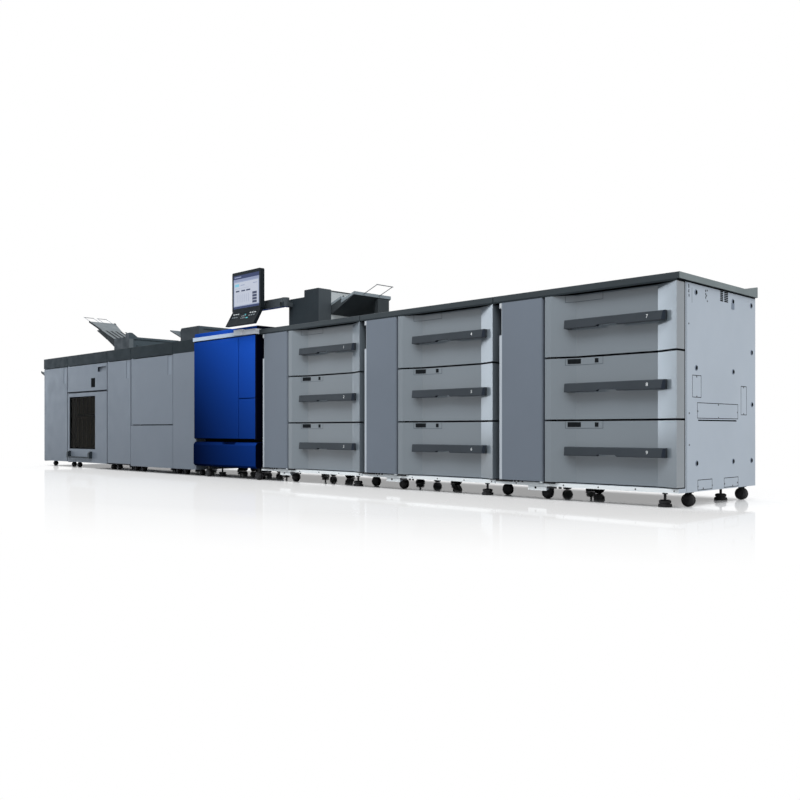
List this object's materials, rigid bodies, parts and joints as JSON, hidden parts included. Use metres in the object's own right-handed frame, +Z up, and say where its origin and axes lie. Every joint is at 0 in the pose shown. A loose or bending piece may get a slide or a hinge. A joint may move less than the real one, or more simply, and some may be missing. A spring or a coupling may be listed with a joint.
{
  "type": "digital production press",
  "caption": "Long digital print line: paper feeders with hollow-faced drawers, a blue engine, an arm-mounted touch screen, and a finishing group with a stacker window and output trays.",
  "frame": {"origin": "centre of the whole row on the floor", "axes": "+X along the row towards the paper feeders, +Y to the back, +Z up"},
  "size_m": [6.95, 0.898, 1.414],
  "materials": {
    "pale_panel": "fine satin powder coat",
    "door_grey": "satin paint over moulded skin",
    "drawer_grey": "satin paint",
    "handle_grey": "fine moulded grain",
    "dark_top": "fine moulded grain",
    "dark_plastic": "fine moulded grain",
    "engine_navy": "satin paint",
    "engine_blue": "gloss metallic paint",
    "bright_trim": "pearl satin",
    "screen": "lit screen behind glass",
    "smoked_window": "smoked clear sheet",
    "light_plastic": "fine moulded grain",
    "tray_plastic": "fine moulded grain",
    "zinc": "zinc plated sheet",
    "wire_steel": "bright wire",
    "caster_black": "hard tyre, satin",
    "foot_black": "black oxide"
  },
  "bodies": {
    "frame": {"feeder_cabinet_1": "pale_panel", "feeder_cabinet_2": "pale_panel", "feeder_cabinet_3": "pale_panel", "worktops": "dark_top", "engine_cabinet": "engine_navy", "engine_base_panel": "engine_blue", "engine_trim": "bright_trim", "engine_top_cover": "engine_blue", "panel_pedestal": "dark_plastic", "manual_feed_unit": "light_plastic", "manual_feed_tray": "tray_plastic", "finisher_cabinet": "pale_panel", "stacker_cabinet": "pale_panel", "stacking_platform": "zinc", "folder_cabinet": "pale_panel", "punch_cabinet": "pale_panel", "punch_base_panel": "door_grey", "relay_cabinet": "door_grey", "top_covers": "dark_top", "output_block": "dark_plastic", "output_trays": "tray_plastic", "tray_wires": "wire_steel", "relay_block": "dark_plastic", "casters": "caster_black", "levelling_feet": "foot_black"},
    "drawer_body_1": {"drawer_1": "drawer_grey", "drawer_handle_1": "handle_grey"},
    "drawer_body_2": {"drawer_2": "drawer_grey", "drawer_handle_2": "handle_grey"},
    "drawer_body_3": {"drawer_3": "drawer_grey", "drawer_handle_3": "handle_grey"},
    "drawer_body_4": {"drawer_4": "drawer_grey", "drawer_handle_4": "handle_grey"},
    "drawer_body_5": {"drawer_5": "drawer_grey", "drawer_handle_5": "handle_grey"},
    "drawer_body_6": {"drawer_6": "drawer_grey", "drawer_handle_6": "handle_grey"},
    "drawer_body_7": {"drawer_7": "drawer_grey", "drawer_handle_7": "handle_grey"},
    "drawer_body_8": {"drawer_8": "drawer_grey", "drawer_handle_8": "handle_grey"},
    "drawer_body_9": {"drawer_9": "drawer_grey", "drawer_handle_9": "handle_grey"},
    "feeder_door_1_body": {"feeder_door_1": "door_grey"},
    "feeder_door_2_body": {"feeder_door_2": "door_grey"},
    "feeder_door_3_body": {"feeder_door_3": "door_grey"},
    "engine_left_door_body": {"engine_left_door": "engine_blue"},
    "engine_upper_door_body": {"engine_upper_door": "engine_blue"},
    "engine_lower_door_body": {"engine_lower_door": "engine_blue"},
    "finisher_door_body": {"finisher_door": "door_grey"},
    "stacker_cover_body": {"stacker_cover": "door_grey"},
    "stacker_door_body": {"stacker_door": "door_grey", "stacker_window": "smoked_window", "stacker_handle": "dark_plastic"},
    "folder_door_body": {"folder_door": "door_grey"},
    "punch_door_body": {"punch_door": "door_grey"},
    "arm_body": {"panel_arm": "dark_plastic"},
    "screen_body": {"screen_housing": "dark_plastic", "screen_glass": "screen", "key_panel": "dark_plastic"}
  },
  "joints": [
    {"name": "drawer_1_slide", "type": "slide", "parent": "frame", "child": "drawer_body_1", "axis": [0, -1, 0], "range_m": [0, 0.5]},
    {"name": "drawer_2_slide", "type": "slide", "parent": "frame", "child": "drawer_body_2", "axis": [0, -1, 0], "range_m": [0, 0.5]},
    {"name": "drawer_3_slide", "type": "slide", "parent": "frame", "child": "drawer_body_3", "axis": [0, -1, 0], "range_m": [0, 0.5]},
    {"name": "drawer_4_slide", "type": "slide", "parent": "frame", "child": "drawer_body_4", "axis": [0, -1, 0], "range_m": [0, 0.5]},
    {"name": "drawer_5_slide", "type": "slide", "parent": "frame", "child": "drawer_body_5", "axis": [0, -1, 0], "range_m": [0, 0.5]},
    {"name": "drawer_6_slide", "type": "slide", "parent": "frame", "child": "drawer_body_6", "axis": [0, -1, 0], "range_m": [0, 0.5]},
    {"name": "drawer_7_slide", "type": "slide", "parent": "frame", "child": "drawer_body_7", "axis": [0, -1, 0], "range_m": [0, 0.5]},
    {"name": "drawer_8_slide", "type": "slide", "parent": "frame", "child": "drawer_body_8", "axis": [0, -1, 0], "range_m": [0, 0.5]},
    {"name": "drawer_9_slide", "type": "slide", "parent": "frame", "child": "drawer_body_9", "axis": [0, -1, 0], "range_m": [0, 0.5]},
    {"name": "feeder_door_1_hinge", "type": "hinge", "parent": "frame", "child": "feeder_door_1_body", "pos_m": [0.753, -0.341, 0.5], "axis": [0, 0, 1], "range_deg": [0, 90]},
    {"name": "feeder_door_2_hinge", "type": "hinge", "parent": "frame", "child": "feeder_door_2_body", "pos_m": [1.7545, -0.341, 0.5], "axis": [0, 0, 1], "range_deg": [0, 90]},
    {"name": "feeder_door_3_hinge", "type": "hinge", "parent": "frame", "child": "feeder_door_3_body", "pos_m": [2.756, -0.341, 0.5], "axis": [0, 0, 1], "range_deg": [0, 90]},
    {"name": "engine_left_door_hinge", "type": "hinge", "parent": "frame", "child": "engine_left_door_body", "pos_m": [-0.3017, -0.366, 0.5], "axis": [0, 0, -1], "range_deg": [0, 90]},
    {"name": "engine_upper_door_hinge", "type": "hinge", "parent": "frame", "child": "engine_upper_door_body", "pos_m": [0.4417, -0.366, 0.5], "axis": [0, 0, 1], "range_deg": [0, 90]},
    {"name": "engine_lower_door_hinge", "type": "hinge", "parent": "frame", "child": "engine_lower_door_body", "pos_m": [0.4417, -0.366, 0.5], "axis": [0, 0, 1], "range_deg": [0, 90]},
    {"name": "finisher_door_hinge", "type": "hinge", "parent": "frame", "child": "finisher_door_body", "pos_m": [-2.9917, -0.341, 0.5], "axis": [0, 0, -1], "range_deg": [0, 90]},
    {"name": "stacker_cover_hinge", "type": "hinge", "parent": "frame", "child": "stacker_cover_body", "pos_m": [-2.4777, -0.341, 0.5], "axis": [0, 0, -1], "range_deg": [0, 90]},
    {"name": "stacker_door_hinge", "type": "hinge", "parent": "frame", "child": "stacker_door_body", "pos_m": [-2.4777, -0.341, 0.5], "axis": [0, 0, -1], "range_deg": [0, 90]},
    {"name": "folder_door_hinge", "type": "hinge", "parent": "frame", "child": "folder_door_body", "pos_m": [-1.7047, -0.341, 0.5], "axis": [0, 0, -1], "range_deg": [0, 90]},
    {"name": "punch_door_hinge", "type": "hinge", "parent": "frame", "child": "punch_door_body", "pos_m": [-1.2917, -0.341, 0.5], "axis": [0, 0, -1], "range_deg": [0, 90]},
    {"name": "arm_swivel", "type": "hinge", "parent": "frame", "child": "arm_body", "pos_m": [0.663, -0.287, 1.181], "axis": [0, 0, 1], "range_deg": [0, 60]},
    {"name": "screen_tilt", "type": "hinge", "parent": "arm_body", "child": "screen_body", "pos_m": [0.367, -0.336, 1.181], "axis": [-1, 0, 0], "range_deg": [0, 20]}
  ]
}
